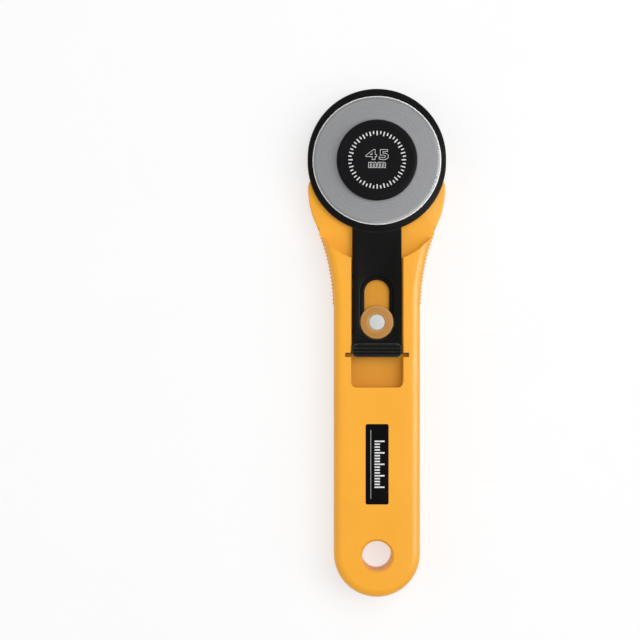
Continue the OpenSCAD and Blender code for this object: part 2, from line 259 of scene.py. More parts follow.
def near(value: float, target: float) -> bool:
    """Says whether two lengths are the same, to within a little room."""
    return abs(value - target) < SAME_LENGTH


def is_sharp(edge: BMEdge) -> bool:
    """Says whether an edge stands sharply out of the surface."""
    return edge.is_manifold and edge.calc_face_angle_signed() > SHARP_ANGLE


def rim_at(height: float) -> EdgeTest:
    """Makes the test for sharp edges that lie at a height."""
    return lambda edge: is_sharp(edge) and all(near(v.co.z, height) for v in edge.verts)


def extrude(rise: float) -> None:
    """Extrudes the selected faces along Z."""
    bpy.ops.mesh.extrude_region_move(TRANSFORM_OT_translate={"value": (0.0, 0.0, rise)})


def soften(obj: Object, radius: float, test: EdgeTest, segments: int) -> None:
    """Rounds the edges of a piece that pass a test.

    Args:
        obj: Mesh object, in object mode.
        radius: Width of the rounding on each side of the edge.
        test: Says which edges to round.
        segments: Number of faces across the rounding.
    """
    with editing(obj):
        pick(obj, Part.EDGES, test)
        bpy.ops.mesh.bevel(offset=radius, segments=segments, profile=0.5, clamp_overlap=False)


def apply_modifier(obj: Object, kind: str, **settings: object) -> None:
    """Adds a modifier to a piece, sets it and applies it.

    Args:
        obj: Piece that takes the modifier.
        kind: Blender's name for the kind of modifier.
        **settings: Values of the modifier's own properties.
    """
    take(obj)
    modifier = obj.modifiers.new(kind.lower(), kind)
    for name, value in settings.items():
        setattr(modifier, name, value)
    bpy.ops.object.modifier_apply(modifier=modifier.name)


def combine(obj: Object, other: Object, operation: str) -> None:
    """Joins another solid to a piece, or cuts the piece with it, and removes the other one.

    Args:
        obj: Piece that is changed.
        other: Solid that is used up.
        operation: UNION or INTERSECT.
    """
    apply_modifier(obj, "BOOLEAN", object=other, operation=operation, solver="EXACT")
    bpy.data.objects.remove(other)
    with editing(obj, whole=True):
        bpy.ops.mesh.remove_doubles(threshold=MERGE_REACH)
        bpy.ops.mesh.dissolve_degenerate(threshold=MERGE_REACH)


def join(pieces: list[Object]) -> Object:
    """Joins several objects into the first of them.

    Args:
        pieces: Objects to join.

    Returns:
        The joined object.
    """
    deselect()
    for piece in pieces:
        piece.select_set(True)
    bpy.context.view_layer.objects.active = pieces[0]
    bpy.ops.object.join()
    return pieces[0]


def settle(obj: Object) -> None:
    """Moves a piece's place into its mesh, turns its faces outwards and smooths its shading.

    Args:
        obj: Finished piece.
    """
    apply_place(obj)
    with editing(obj, whole=True):
        bpy.ops.mesh.normals_make_consistent(inside=False)
    bpy.ops.object.shade_smooth_by_angle(angle=SMOOTH_ANGLE)


def cylinder(name: str, radius: float, low: float, high: float, segments: int) -> Object:
    """Adds an upright cylinder on the Z axis.

    Args:
        name: Name of the object.
        radius: Its radius.
        low: Height of its lower end.
        high: Height of its upper end.
        segments: Number of its sides.

    Returns:
        The cylinder.
    """
    deselect()
    centre = (0, 0, (low + high) / 2)
    bpy.ops.mesh.primitive_cylinder_add(vertices=segments, radius=radius, depth=high - low, location=centre)
    obj = started(name)
    apply_place(obj)
    return obj


def printed_bar(name: str, size: Pair, place: Vector) -> Object:
    """Models one bar of ink with soft upper edges, half sunk in the surface under it.

    Args:
        name: Name of the bar.
        size: Its lengths along X and Y.
        place: Its middle, on the printed surface.

    Returns:
        The bar.
    """
    deselect()
    bpy.ops.mesh.primitive_cube_add(size=1.0, location=place)
    bar = started(name)
    bar.scale = (*size, 2 * INK_HEIGHT)
    apply_place(bar)
    soften(bar, INK_ROUND, lambda e: min(v.co.z for v in e.verts) > place.z, segments=2)
    return bar


def copy_of(node: Node, name: str) -> Object:
    """Copies a piece of the frame as one closed mesh with whole flat faces.

    Args:
        node: Piece to copy.
        name: Name of the copy.

    Returns:
        The copy, at the place of the original.
    """
    copy = bpy.data.objects.new(name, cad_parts[node.value].data.copy())
    copy.data.name = name
    bpy.context.scene.collection.objects.link(copy)
    with editing(copy, whole=True):
        bpy.ops.mesh.customdata_custom_splitnormals_clear()
        bpy.ops.mesh.remove_doubles(threshold=MERGE_REACH)
        bpy.ops.mesh.dissolve_limited(angle_limit=FLAT_ANGLE)
    return copy


def dress(obj: Object, material: Material) -> None:
    """Gives a piece one material all over."""
    obj.data.materials.clear()
    obj.data.materials.append(material)


def dress_node(node: Node, material: Material) -> None:
    """Dresses a piece of the frame as it is."""
    dress(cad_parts[node.value], material)
    log.info("%s is dressed", node.value)


def stand_in(obj: Object, node: Node, body: Body, material: Material) -> None:
    """Finishes a modelled piece and puts it in the place of a piece of the frame.

    Args:
        obj: Modelled piece.
        node: Piece of the frame that it stands for.
        body: Body that it rides on.
        material: Its finish.
    """
    settle(obj)
    dress(obj, material)
    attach(obj, body.value)
    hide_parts(node.value)
    log.info("%s stands for %s, with %d faces", obj.name, node.value, len(obj.data.polygons))


def print_on_handle(obj: Object, name: str, ink: Material) -> None:
    """Names and inks a print, and lets it ride on the handle.

    Args:
        obj: Finished print.
        name: Its name.
        ink: Its material.
    """
    obj.name = name
    dress(obj, ink)
    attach(obj, Body.HANDLE.value)
    log.info("%s is printed, with %d faces", name, len(obj.data.polygons))


# Shader sheets and shared effects


class NodeSheet:
    """Adds and joins the nodes of one material or one node group."""

    def __init__(self, tree: NodeTree) -> None:
        """Starts on an empty tree."""
        self.tree = tree
        tree.nodes.clear()

    def add(self, kind: str, values: dict[str, object] | None = None, **settings: object) -> ShaderNode:
        """Adds a node.

        Args:
            kind: Blender's name for the kind of node, without its ShaderNode prefix.
            values: Input sockets by name, each with a value or with a socket to link.
            **settings: Properties of the node itself.

        Returns:
            The new node.
        """
        node = self.tree.nodes.new("ShaderNode" + kind)
        for name, value in settings.items():
            setattr(node, name, value)
        for name, value in (values or {}).items():
            self.feed(node.inputs[name], value)
        return node

    def feed(self, socket: NodeSocket, value: object) -> None:
        """Links a socket to another one, or sets its value.

        Args:
            socket: Input socket.
            value: Socket to link, or the value to set.
        """
        if isinstance(value, NodeSocket):
            self.tree.links.new(value, socket)
        else:
            socket.default_value = value

    def math(self, operation: str, *terms: object, clamp: bool = False) -> NodeSocket:
        """Adds a math node.

        Args:
            operation: Blender's name for the operation.
            *terms: Values or sockets, in order.
            clamp: Whether the result is kept between 0 and 1.

        Returns:
            The socket of the result.
        """
        node = self.add("Math", operation=operation, use_clamp=clamp)
        for socket, term in zip(node.inputs, terms):
            self.feed(socket, term)
        return node.outputs["Value"]

    def blend(self, mask: object, low: object, high: object) -> NodeSocket:
        """Mixes two colours by a mask.

        Args:
            mask: Share of the second colour.
            low: Colour, or a socket, where the mask is 0.
            high: Colour, or a socket, where the mask is 1.

        Returns:
            The socket of the mixed colour.
        """
        node = self.add("Mix", data_type="RGBA")
        self.feed(node.inputs["Factor"], mask)
        for name, value in (("A", low), ("B", high)):
            socket = next(s for s in node.inputs if s.name == name and s.type == "RGBA")
            self.feed(socket, value)
        return next(s for s in node.outputs if s.type == "RGBA")

    def span(self, value: object, source: Pair = NOISE_RANGE, target: Pair = UNIT_RANGE) -> NodeSocket:
        """Maps one range of numbers to another.

        Args:
            value: Number or socket to map.
            source: Range that the number comes from.
            target: Range that it is mapped to.

        Returns:
            The socket of the mapped number.
        """
        node = self.add("MapRange", {
            "Value": value,
            "From Min": source[0],
            "From Max": source[1],
            "To Min": target[0],
            "To Max": target[1],
        })
        return node.outputs["Result"]

    def noise(self, vector: object, scale: object, detail: float) -> NodeSocket:
        """Adds a noise texture.

        Args:
            vector: Place on the surface.
            scale: Number of features in a metre.
            detail: Number of finer layers.

        Returns:
            The socket of the noise, from 0 to 1.
        """
        values = {"Vector": vector, "Scale": scale, "Detail": detail, "Roughness": 0.6}
        return self.add("TexNoise", values).outputs["Fac"]

    def coordinate(self, vector: object, axis: str) -> NodeSocket:
        """Gives one coordinate of a vector."""
        return self.add("SeparateXYZ", {"Vector": vector}).outputs[axis]


@dataclass
class Effect:
    """Effect on a surface that several finishes share, as one node group."""

    name: str
    inputs: dict[str, str]
    outputs: tuple[str, ...]
    draw: Callable[[NodeSheet, ShaderNode], Sockets]

    def group(self) -> NodeTree:
        """Builds the node group, or finds it if it is built already.

        Returns:
            The node group.
        """
        if self.name in bpy.data.node_groups:
            return bpy.data.node_groups[self.name]
        tree = bpy.data.node_groups.new(self.name, "ShaderNodeTree")
        for socket, kind in self.inputs.items():
            tree.interface.new_socket(socket, in_out="INPUT", socket_type="NodeSocket" + kind)
        for socket in self.outputs:
            tree.interface.new_socket(socket, in_out="OUTPUT", socket_type="NodeSocketFloat")
        sheet = NodeSheet(tree)
        entry = tree.nodes.new("NodeGroupInput")
        leave = tree.nodes.new("NodeGroupOutput")
        for socket, result in self.draw(sheet, entry).items():
            tree.links.new(result, leave.inputs[socket])
        return tree

    def use(self, sheet: NodeSheet, values: dict[str, object]) -> bpy.types.NodeOutputs:
        """Places the effect in a material.

        Args:
            sheet: Node sheet of the material.
            values: Values or sockets for the effect's inputs.

        Returns:
            The output sockets of the effect.
        """
        return sheet.add("Group", values, node_tree=self.group()).outputs


def draw_grain(sheet: NodeSheet, entry: ShaderNode) -> Sockets:
    """Draws the fine grain that a spark-eroded mould leaves, with slow changes of tone and sheen.

    Args:
        sheet: Sheet of the group.
        entry: Group's input node.

    Returns:
        Result for each output of the group.
    """
    place, grain, blotch = (entry.outputs[name] for name in ("Place", "Grain", "Blotch"))
    peel_scale, peel_share, fine_share, sheen_scale = 0.22, 0.7, 0.3, 3.7
    fine = sheet.noise(place, grain, detail=3.0)
    peel = sheet.noise(place, sheet.math("MULTIPLY", grain, peel_scale), detail=1.0)
    height = sheet.math("MULTIPLY_ADD", peel, peel_share, sheet.math("MULTIPLY", fine, fine_share))
    tone = sheet.span(sheet.noise(place, blotch, detail=2.0))
    sheen = sheet.noise(place, sheet.math("MULTIPLY", blotch, sheen_scale), detail=3.0)
    return {"Height": height, "Tone": tone, "Sheen": sheen}


def draw_worn_and_highlit_edges(sheet: NodeSheet, entry: ShaderNode) -> Sockets:
    """Finds the outer edges, broken up by a little noise, that pieces lighten as wear from handling and, on
    some pieces, as a painted highlight.

    Args:
        sheet: Sheet of the group.
        entry: Group's input node.

    Returns:
        Result for each output of the group.
    """
    patch_scale = 400.0
    reach = {"Distance": entry.outputs["Reach"]}
    covered = sheet.add("AmbientOcclusion", reach, inside=True, only_local=True, samples=8)
    edge = sheet.span(covered.outputs["AO"], source=(0.95, 0.45))
    patches = sheet.noise(entry.outputs["Place"], patch_scale, detail=3.0)
    patchy = sheet.span(patches, source=(0.35, 0.65), target=(0.4, 1.0))
    return {"Edge": sheet.math("MULTIPLY", edge, patchy, clamp=True)}


def draw_rings(sheet: NodeSheet, entry: ShaderNode) -> Sockets:
    """Draws the fine rings that turning or grinding leaves around an axis along Z.

    Args:
        sheet: Sheet of the group.
        entry: Group's input node.

    Returns:
        Result for each output of the group.
    """
    wobble_scale, wobble_reach = 160.0, 0.12 * MM
    from_axis = entry.outputs["From axis"]
    flat = sheet.add("VectorMath", {"Vector": from_axis}, operation="MULTIPLY")
    flat.inputs[1].default_value = (1.0, 1.0, 0.0)
    reach = sheet.add("VectorMath", {"Vector": flat.outputs["Vector"]}, operation="LENGTH")
    radius = reach.outputs["Value"]
    wobble = sheet.noise(from_axis, wobble_scale, detail=1.0)
    values = {
        "W": sheet.math("MULTIPLY_ADD", wobble, wobble_reach, radius),
        "Scale": entry.outputs["Rings"],
        "Detail": 3.0,
    }
    ring = sheet.add("TexNoise", values, noise_dimensions="1D")
    return {"Height": ring.outputs["Fac"], "Radius": radius}


def draw_hairlines(sheet: NodeSheet, entry: ShaderNode) -> Sockets:
    """Draws sparse hairline scratches that lie two ways.

    Args:
        sheet: Sheet of the group.
        entry: Group's input node.

    Returns:
        Result for each output of the group.
    """
    masks = []
    for turn, stretch in ((0.5, 26.0), (-0.9, 40.0)):
        laid = sheet.add("Mapping", {
            "Vector": entry.outputs["Place"],
            "Rotation": (0.0, 0.0, turn),
            "Scale": (1.0, stretch, 1.0),
        })
        lines = sheet.noise(laid.outputs["Vector"], entry.outputs["Lines"], detail=2.0)
        masks.append(sheet.span(lines, source=(0.66, 0.76)))
    return {"Scratch": sheet.math("MAXIMUM", *masks)}


GRAIN = Effect(
    "moulded_grain",
    {"Place": "Vector", "Grain": "Float", "Blotch": "Float"},
    ("Height", "Tone", "Sheen"),
    draw_grain,
)
# Lighter outer edges: wear from handling on most pieces, and a painted highlight on the stud's rim and the
# guard's edges.
EDGES = Effect("worn_and_highlit_edges", {"Place": "Vector", "Reach": "Float"}, ("Edge",), draw_worn_and_highlit_edges)
RINGS = Effect("turned_rings", {"From axis": "Vector", "Rings": "Float"}, ("Height", "Radius"), draw_rings)
HAIRLINES = Effect("hairlines", {"Place": "Vector", "Lines": "Float"}, ("Scratch",), draw_hairlines)


def surface(name: str) -> tuple[Material, NodeSheet, NodeSocket]:
    """Starts a material.

    Args:
        name: Name of the material.

    Returns:
        The material, its node sheet, and the socket of the place on the piece.
    """
    material = bpy.data.materials.new(name)
    material.use_nodes = True
    sheet = NodeSheet(material.node_tree)
    return material, sheet, sheet.add("TexCoord").outputs["Object"]


def finish_with(sheet: NodeSheet, values: dict[str, object]) -> None:
    """Ends a material in a Principled shader with the given values."""
    shader = sheet.add("BsdfPrincipled", values)
    sheet.add("OutputMaterial", {"Surface": shader.outputs["BSDF"]})


def from_pivot(sheet: NodeSheet, place: NodeSocket) -> NodeSocket:
    """Measures a place on a piece from the pivot's axis."""
    moved = sheet.add("Mapping", {"Vector": place, "Location": (-PIVOT.x, -PIVOT.y, 0.0)})
    return moved.outputs["Vector"]


def rgba(colour: Colour) -> tuple[float, float, float, float]:
    """Adds full opacity to a colour."""
    return (*colour, 1.0)


def bumped(sheet: NodeSheet, height: object, share: float, relief: float) -> NodeSocket:
    """Turns a height from 0 to 1 into a normal, with a share of the bump and its relief in metres."""
    return sheet.add("Bump", {"Strength": share, "Distance": relief, "Height": height}).outputs["Normal"]


# Finishes


@dataclass(frozen=True)
class MouldedPlastic:
    """Injection-moulded plastic with a fine grain, edges lightened by wear and on some pieces by a painted
    highlight, and painted shade in its recesses where asked.
    """

    name: str
    colour: Colour
    tone: Colour
    edge: Colour
    roughness: Pair
    specular: float = 0.5
    grain: float = 2600.0
    blotch: float = 45.0
    relief: float = 0.02 * MM
    edge_reach: float = 0.5 * MM
    edge_share: float = 0.3
    # Y range over which the edge share rises to full, for a painted highlight and thumb wear on a tab.
    thumb_wear_and_highlight: Pair | None = None
    # A darker colour painted as shade on the channel's floor and in the inner corners, with the reach and the
    # shares of that painted shade.
    recess_shade: Colour | None = None
    recess_shade_reach: float = 9.0 * MM
    corner_shade_share: float = 0.18
    floor_shade_share: float = 0.6
    floor_shade_levels: Pair = (11.0 * MM, 13.5 * MM)
    floor_shade_end: Pair = (24.0 * MM, 28.0 * MM)
    parting: float | None = None
    parting_reach: Pair = (0.12 * MM, 0.04 * MM)
    parting_rise: float = 2.5

    def material(self) -> Material:
        """Builds the material.

        Returns:
            The material.
        """
        material, sheet, place = surface(self.name)
        grain = GRAIN.use(sheet, {"Place": place, "Grain": self.grain, "Blotch": self.blotch})
        edges = EDGES.use(sheet, {"Place": place, "Reach": self.edge_reach})
        body = sheet.blend(grain["Tone"], rgba(self.colour), rgba(self.tone))
        # Painted shade: the channel's floor and the inner corners are darkened towards a deeper colour.
        if self.recess_shade is not None:
            body = sheet.blend(self.painted_recess_shade(sheet, place), body, rgba(self.recess_shade))
        # Lighter edges: wear on most pieces, and a painted highlight where the edge colour is pale and its
        # share high, as on the stud and the guard's tab.
        share = self.edge_share
        if self.thumb_wear_and_highlight is not None:
            share = sheet.span(sheet.coordinate(place, "Y"), self.thumb_wear_and_highlight, (self.edge_share, 1.0))
        edge_lightening = sheet.math("MULTIPLY", edges["Edge"], share)
        height = grain["Height"]
        if self.parting is not None:
            height = sheet.math("ADD", height, self.parting_line(sheet, place))
        finish_with(sheet, {
            "Base Color": sheet.blend(edge_lightening, body, rgba(self.edge)),
            "Roughness": sheet.span(grain["Sheen"], target=self.roughness),
            "Specular IOR Level": self.specular,
            "Normal": bumped(sheet, height, share=0.6, relief=self.relief),
        })
        return material

    def painted_recess_shade(self, sheet: NodeSheet, place: NodeSocket) -> NodeSocket:
        """Finds the floor of the channel and the inner corners, where a darker colour is painted in as shade.

        Args:
            sheet: Node sheet of the material.
            place: Socket of the place on the piece.

        Returns:
            The socket of the mask.
        """
        facing = sheet.coordinate(sheet.add("TexCoord").outputs["Normal"], "Z")
        upward = sheet.span(facing, source=(0.5, 0.9))
        low = sheet.span(sheet.coordinate(place, "Z"), self.floor_shade_levels, (self.floor_shade_share, 0.0))
        below_head = sheet.span(sheet.coordinate(place, "Y"), self.floor_shade_end, (1.0, 0.0))
        floor = sheet.math("MULTIPLY", sheet.math("MULTIPLY", upward, low), below_head)
        sky = sheet.add("AmbientOcclusion", {"Distance": self.recess_shade_reach}, only_local=True, samples=12)
        depth = sheet.math("SUBTRACT", 1.0, sky.outputs["AO"], clamp=True)
        corner_shade = sheet.span(depth, source=(0.1, 0.6), target=(0.0, self.corner_shade_share))
        return sheet.math("ADD", floor, corner_shade, clamp=True)

    def parting_line(self, sheet: NodeSheet, place: NodeSocket) -> NodeSocket:
        """Draws the thin ridge where the two halves of the mould meet."""
        apart = sheet.math("ABSOLUTE", sheet.math("SUBTRACT", sheet.coordinate(place, "Z"), self.parting))
        return sheet.span(apart, self.parting_reach, (0.0, self.parting_rise))


@dataclass(frozen=True)
class GroundSteel:
    """Blade steel, ground flat with fine rings, with a bevel and a honed edge at the rim."""

    name: str
    bevel_from: float
    honed_from: float
    colour: Colour
    streak: Colour
    bevel: Colour
    honed: Colour
    roughness: Pair
    bevel_smoothness: float
    honed_haze: float = 0.4
    limit_blend: float = 0.02 * MM
    scratch_share: float = 0.25
    rings: float = 5200.0
    lines: float = 260.0

    def material(self) -> Material:
        """Builds the material.

        Returns:
            The material.
        """
        material, sheet, place = surface(self.name)
        centred = from_pivot(sheet, place)
        rings = RINGS.use(sheet, {"From axis": centred, "Rings": self.rings})
        scratch = HAIRLINES.use(sheet, {"Place": centred, "Lines": self.lines})["Scratch"]
        rim = self.outside(sheet, rings["Radius"], self.bevel_from)
        edge = self.outside(sheet, rings["Radius"], self.honed_from)
        flat = sheet.blend(sheet.span(rings["Height"]), rgba(self.colour), rgba(self.streak))
        marked = sheet.blend(sheet.math("MULTIPLY", scratch, self.scratch_share), flat, rgba(self.bevel))
        ground = sheet.blend(rim, marked, rgba(self.bevel))
        rough = sheet.span(rings["Height"], target=self.roughness)
        smooth = sheet.math("SUBTRACT", rough, sheet.math("MULTIPLY", rim, self.bevel_smoothness))
        finish_with(sheet, {
            "Base Color": sheet.blend(edge, ground, rgba(self.honed)),
            "Metallic": 1.0,
            "Roughness": sheet.math("MULTIPLY_ADD", edge, self.honed_haze, smooth),
            "Normal": bumped(sheet, rings["Height"], share=0.25, relief=0.002 * MM),
        })
        return material

    def outside(self, sheet: NodeSheet, radius: NodeSocket, limit: float) -> NodeSocket:
        """Masks the part of the blade outside a radius, with a narrow blend."""
        return sheet.span(radius, (limit - self.limit_blend, limit + self.limit_blend))


@dataclass(frozen=True)
class TurnedMetal:
    """Metal turned on a lathe, with fine rings around the pivot."""

    name: str
    colour: Colour
    streak: Colour
    roughness: Pair
    rings: float = 3200.0
    edge_reach: float = 0.3 * MM
    edge_share: float = 0.3

    def material(self) -> Material:
        """Builds the material.

        Returns:
            The material.
        """
        material, sheet, place = surface(self.name)
        rings = RINGS.use(sheet, {"From axis": from_pivot(sheet, place), "Rings": self.rings})
        edges = EDGES.use(sheet, {"Place": place, "Reach": self.edge_reach})
        edge_lightening = sheet.math("MULTIPLY", edges["Edge"], self.edge_share)
        body = sheet.blend(sheet.span(rings["Height"]), rgba(self.colour), rgba(self.streak))
        finish_with(sheet, {
            "Base Color": sheet.blend(edge_lightening, body, rgba(self.streak)),
            "Metallic": 1.0,
            "Roughness": sheet.span(rings["Height"], target=self.roughness),
            "Normal": bumped(sheet, rings["Height"], share=0.4, relief=0.004 * MM),
        })
        return material


@dataclass(frozen=True)
class PrintInk:
    """Pad-printed ink, a little thin and uneven."""

    name: str
    colour: Colour
    thin: Colour
    roughness: Pair = (0.47, 0.63)

    def material(self) -> Material:
        """Builds the material.

        Returns:
            The material.
        """
        material, sheet, place = surface(self.name)
        grain = GRAIN.use(sheet, {"Place": place, "Grain": 5200.0, "Blotch": 900.0})
        finish_with(sheet, {
            "Base Color": sheet.blend(grain["Tone"], rgba(self.colour), rgba(self.thin)),
            "Roughness": sheet.span(grain["Sheen"], target=self.roughness),
            "Normal": bumped(sheet, grain["Height"], share=0.4, relief=0.01 * MM),
        })
        return material


@dataclass(frozen=True)
class GlossFilm:
    """Glossy label film with a slight wave and a few hairlines."""

    name: str
    colour: Colour
    haze: Colour
    haze_share: float = 0.4
    roughness: float = 0.2
    scratch_roughness: float = 0.25
    specular: float = 0.07

    def material(self) -> Material:
        """Builds the material.

        Returns:
            The material.
        """
        material, sheet, place = surface(self.name)
        grain = GRAIN.use(sheet, {"Place": place, "Grain": 700.0, "Blotch": 120.0})
        scratch = HAIRLINES.use(sheet, {"Place": place, "Lines": 420.0})["Scratch"]
        hazy = sheet.math("MULTIPLY", grain["Tone"], self.haze_share)
        finish_with(sheet, {
            "Base Color": sheet.blend(hazy, rgba(self.colour), rgba(self.haze)),
            "Roughness": sheet.math("MULTIPLY_ADD", scratch, self.scratch_roughness, self.roughness),
            "Specular IOR Level": self.specular,
            "Normal": bumped(sheet, grain["Height"], share=0.3, relief=0.01 * MM),
        })
        return material


@dataclass(frozen=True)
class StudioFloor:
    """Pale matte floor with a faint glow, like a light table, that can be seen through from below."""

    name: str
    colour: Colour
    mottle: Colour
    glow: float
    mottle_scale: float = 30.0
    roughness: Pair = (0.8, 0.9)

    def material(self) -> Material:
        """Builds the material.

        Returns:
            The material.
        """
        material, sheet, place = surface(self.name)
        mottled = sheet.noise(place, self.mottle_scale, detail=4.0)
        shader = sheet.add("BsdfPrincipled", {
            "Base Color": sheet.blend(mottled, rgba(self.colour), rgba(self.mottle)),
            "Roughness": sheet.span(mottled, target=self.roughness),
            "Specular IOR Level": 0.2,
            "Emission Color": rgba(self.colour),
            "Emission Strength": self.glow,
        })
        mixed = sheet.add("MixShader", {"Fac": sheet.add("NewGeometry").outputs["Backfacing"]})
        sheet.feed(mixed.inputs[1], shader.outputs["BSDF"])
        sheet.feed(mixed.inputs[2], sheet.add("BsdfTransparent").outputs["BSDF"])
        sheet.add("OutputMaterial", {"Surface": mixed.outputs["Shader"]})
        return material


# Sub-assemblies


@dataclass
class Handle:
    """Moulded handle with the head plate, the guard's channel and the hanging hole."""

    plate_foot: float = 39.0 * MM
    plate_inner: float = 12.0 * MM
    plate_round: float = 0.55 * MM
    finish: MouldedPlastic = MouldedPlastic(
        "golden_handle_plastic",
        colour=(0.92, 0.41, 0.024),
        tone=(0.89, 0.386, 0.02),
        edge=(0.97, 0.5, 0.075),
        roughness=(0.36, 0.46),
        # Darker orange painted as shade on the channel's floor and in the inner corners.
        recess_shade=(0.53, 0.21, 0.004),
        parting=7.5 * MM,
    )

    def build(self) -> None:
        """Rounds the outline of the head plate and dresses the moulding."""
        moulding = copy_of(Node.HANDLE, "handle_moulding")
        soften(moulding, self.plate_round, self.on_plate_outline, segments=4)
        stand_in(moulding, Node.HANDLE, Body.HANDLE, self.finish.material())

    def on_plate_outline(self, edge: BMEdge) -> bool:
        """Says whether an edge is one of the plate's outer edges, on its front or its back.

        Args:
            edge: Edge of the moulding.

        Returns:
            Whether it is one of them.
        """
        first, second = (v.co for v in edge.verts)
        level = near(first.z, second.z) and any(near(first.z, z) for z in PLATE_LEVELS)
        outer = min((first.xy - PIVOT.xy).length, (second.xy - PIVOT.xy).length) > self.plate_inner
        return level and outer and min(first.y, second.y) > self.plate_foot and is_sharp(edge)


@dataclass
class Label:
    """Black film label with a plain scale printed on it."""

    film_round: float = 0.1 * MM
    tick_pitch: float = 1.0 * MM
    tick_width: float = 0.5 * MM
    tick_count: int = 17
    long_every: int = 4
    short_tick: float = 1.9 * MM
    long_tick: float = 3.5 * MM
    tick_start_x: float = -0.9 * MM
    rule_x: float = -2.2 * MM
    rule_size: Pair = (0.25 * MM, 24.0 * MM)
    film: GlossFilm = GlossFilm(
        "black_label_film",
        colour=(0.003, 0.0025, 0.0025),
        haze=(0.006, 0.0055, 0.0055),
    )
    white: PrintInk = PrintInk("white_label_ink", colour=(0.82, 0.82, 0.8), thin=(0.68, 0.68, 0.67))
    grey: PrintInk = PrintInk("grey_label_ink", colour=(0.34, 0.34, 0.34), thin=(0.24, 0.24, 0.24))

    def build(self) -> None:
        """Builds the film, the row of white ticks on it and the thin grey rule beside them."""
        film = copy_of(Node.LABEL, "label_film")
        soften(film, self.film_round, is_sharp, segments=3)
        stand_in(film, Node.LABEL, Body.HANDLE, self.film.material())
        scale = join([self.tick(i) for i in range(self.tick_count)])
        settle(scale)
        print_on_handle(scale, "label_scale", self.white.material())
        rule = self.bar("label_rule", self.rule_size, (self.rule_x, 0.0))
        settle(rule)
        print_on_handle(rule, "label_rule", self.grey.material())

    def bar(self, name: str, size: Pair, place: Pair) -> Object:
        """Models one printed bar, at a place that is counted from the middle of the label."""
        return printed_bar(name, size, top_of(Node.LABEL) + Vector((*place, 0.0)))

    def tick(self, number: int) -> Object:
        """Models one tick of the scale.

        Args:
            number: Which tick it is, counted from the top.

        Returns:
            The tick.
        """
        length = self.long_tick if number % self.long_every == 0 else self.short_tick
        rise = ((self.tick_count - 1) / 2 - number) * self.tick_pitch
        place = (self.tick_start_x + length / 2, rise)
        return self.bar(f"label_tick_{number}", (length, self.tick_width), place)


@dataclass
class Guard:
    """Sliding guard, and the stud with its pin that holds it down."""

    keyhole_round: float = 0.22 * MM
    keyhole_reach: float = 6.5 * MM
    keyhole_span: Pair = (-7.0 * MM, 18.0 * MM)
    ledge_levels: Pair = (11.0 * MM, 12.5 * MM)
    ledge_reach: float = 5.3 * MM
    stud_round: float = 0.4 * MM
    pin_round: float = 0.35 * MM
    # The guard's edges are lightened far above its black, most of all on the thumb tab: painted highlights
    # along the ridges and rims, and partly wear from the thumb.
    guard_finish: MouldedPlastic = MouldedPlastic(
        "black_guard_plastic",
        colour=(0.0042, 0.0043, 0.0038),
        tone=(0.0032, 0.0033, 0.0029),
        edge=(0.09, 0.09, 0.086),
        roughness=(0.3, 0.4),
        specular=0.12,
        thumb_wear_and_highlight=(3.0 * MM, 1.0 * MM),
        relief=0.015 * MM,
    )
    # The stud's colour is darkened below the handle's to paint in the shade of its recess, and its pale edge
    # at a high share paints a highlight round its rim.
    stud_finish: MouldedPlastic = MouldedPlastic(
        "amber_stud_plastic_painted_shade_and_rim_highlight",
        colour=(0.46, 0.205, 0.032),
        tone=(0.42, 0.185, 0.028),
        edge=(0.9, 0.6, 0.26),
        roughness=(0.4, 0.5),
        edge_reach=0.85 * MM,
        edge_share=0.95,
    )
    pin_finish: MouldedPlastic = MouldedPlastic(
        "pale_pin_plastic",
        colour=(0.6, 0.61, 0.59),
        tone=(0.55, 0.56, 0.55),
        edge=(0.7, 0.71, 0.7),
        roughness=(0.35, 0.45),
    )

    def build(self) -> None:
        """Builds the guard, the stud and the pin, with the rims of the keyhole and the fixings rounded."""
        guard = copy_of(Node.GUARD, "guard_moulding")
        soften(guard, self.keyhole_round, self.on_keyhole_rim, segments=3)
        stand_in(guard, Node.GUARD, Body.GUARD, self.guard_finish.material())
        fixings = (
            (Node.STUD, "stud_flange", self.stud_round, self.stud_finish, Slot.STUD),
            (Node.PIN, "stud_pin_head", self.pin_round, self.pin_finish, Slot.PIN),
        )
        for node, name, radius, finish, slot in fixings:
            fixing = copy_of(node, name)
            soften(fixing, radius, rim_at(top_of(node).z), segments=4)
            stand_in(fixing, node, Body.HANDLE, finish.material())

    def on_keyhole_rim(self, edge: BMEdge) -> bool:
        """Says whether an edge lies on one of the upper rims of the keyhole.

        Args:
            edge: Edge of the guard.

        Returns:
            Whether it lies on one of them.
        """
        first, second = (v.co for v in edge.verts)
        low, high = (STUD.y + step for step in self.keyhole_span)
        level = near(first.z, second.z) and first.z > self.ledge_levels[0]
        reach = self.ledge_reach if first.z < self.ledge_levels[1] else self.keyhole_reach
        inside = max(abs(first.x), abs(second.x)) < reach
        inside = inside and min(first.y, second.y) > low and max(first.y, second.y) < high
        return level and inside and is_sharp(edge)


@dataclass
class Blade:
    """Round blade with a ground bevel and a honed edge."""

    bevel_width: float = 1.1 * MM
    honed_width: float = 0.36 * MM

    def build(self) -> None:
        """Dresses the blade, with the widths of its bevel and its edge counted from the rim."""
        low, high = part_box(Node.BLADE.value)
        radius = (high.x - low.x) / 2
        finish = GroundSteel(
            "ground_blade_steel",
            bevel_from=radius - self.bevel_width,
            honed_from=radius - self.honed_width,
            colour=(0.62, 0.62, 0.63),
            streak=(0.68, 0.68, 0.69),
            bevel=(0.66, 0.66, 0.66),
            honed=(0.86, 0.86, 0.85),
            roughness=(0.25, 0.33),
            bevel_smoothness=0.08,
        )
        dress_node(Node.BLADE, finish.material())


